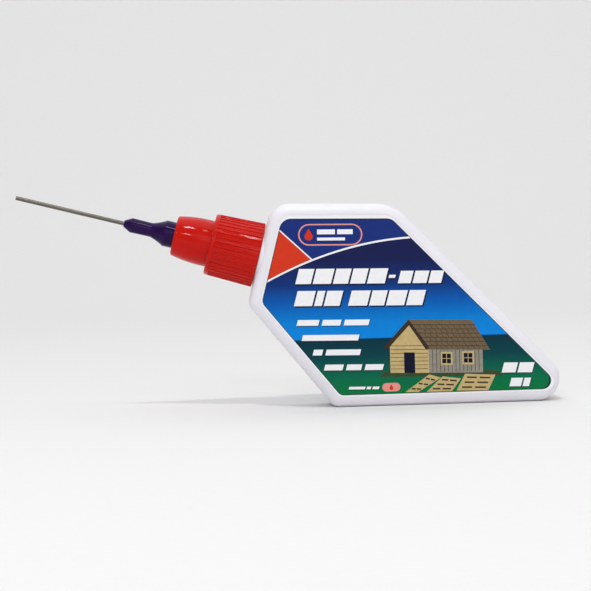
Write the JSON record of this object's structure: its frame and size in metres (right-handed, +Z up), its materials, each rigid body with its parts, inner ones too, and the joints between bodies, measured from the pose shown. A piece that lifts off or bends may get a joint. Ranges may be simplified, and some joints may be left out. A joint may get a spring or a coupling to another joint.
{
  "type": "glue applicator bottle",
  "caption": "Flat slanted squeeze bottle with a printed label, a ribbed screw cap and a luer-lock needle tip for fine beads of glue.",
  "frame": {"origin": "centre of the flat base, on the surface that the bottle stands on", "axes": "+X along the base away from the needle, +Y from the front label to the back label, +Z up"},
  "size_m": [0.1405, 0.017, 0.0572],
  "materials": {
    "bottle_plastic": "semi-matt, slightly translucent, with faint flow marks",
    "front_print": "printed film, satin gloss",
    "back_print": "printed film, satin gloss",
    "glue": "wet, milky liquid",
    "cap_plastic": "glossy, injection moulded",
    "washer_foam": "closed-cell foam",
    "hub_plastic": "glossy, tinted and slightly clear",
    "needle_steel": "drawn along its length",
    "bond_resin": "clear set resin"
  },
  "bodies": {
    "bottle": {"bottle_body": "bottle_plastic", "front_label": "front_print", "back_label": "back_print", "glue_fill": "glue"},
    "washer": {"sealing_washer": "washer_foam"},
    "cap": {"screw_cap": "cap_plastic"},
    "needle": {"needle_tube": "needle_steel", "needle_bond": "bond_resin"},
    "hub": {"needle_hub": "hub_plastic"}
  },
  "joints": [
    {"name": "cap_rise", "type": "slide", "parent": "bottle", "child": "washer", "axis": [-0.9659, 0, 0.2588], "range_m": [0, 0.012]},
    {"name": "cap_turn", "type": "hinge", "parent": "washer", "child": "cap", "pos_m": [-0.04544, 0, 0.03976], "axis": [-0.9659, 0, 0.2588], "range_deg": [0, 1440]},
    {"name": "needle_rise", "type": "slide", "parent": "cap", "child": "needle", "axis": [-0.9659, 0, 0.2588], "range_m": [0, 0.00635]},
    {"name": "needle_turn", "type": "hinge", "parent": "needle", "child": "hub", "pos_m": [-0.04544, 0, 0.03976], "axis": [-0.9659, 0, 0.2588], "range_deg": [0, 450]}
  ],
  "couplings": [
    {"joint": "cap_turn", "follows": "cap_rise", "rad_per_m": 2094.4},
    {"joint": "needle_turn", "follows": "needle_rise", "rad_per_m": 1236.8}
  ]
}
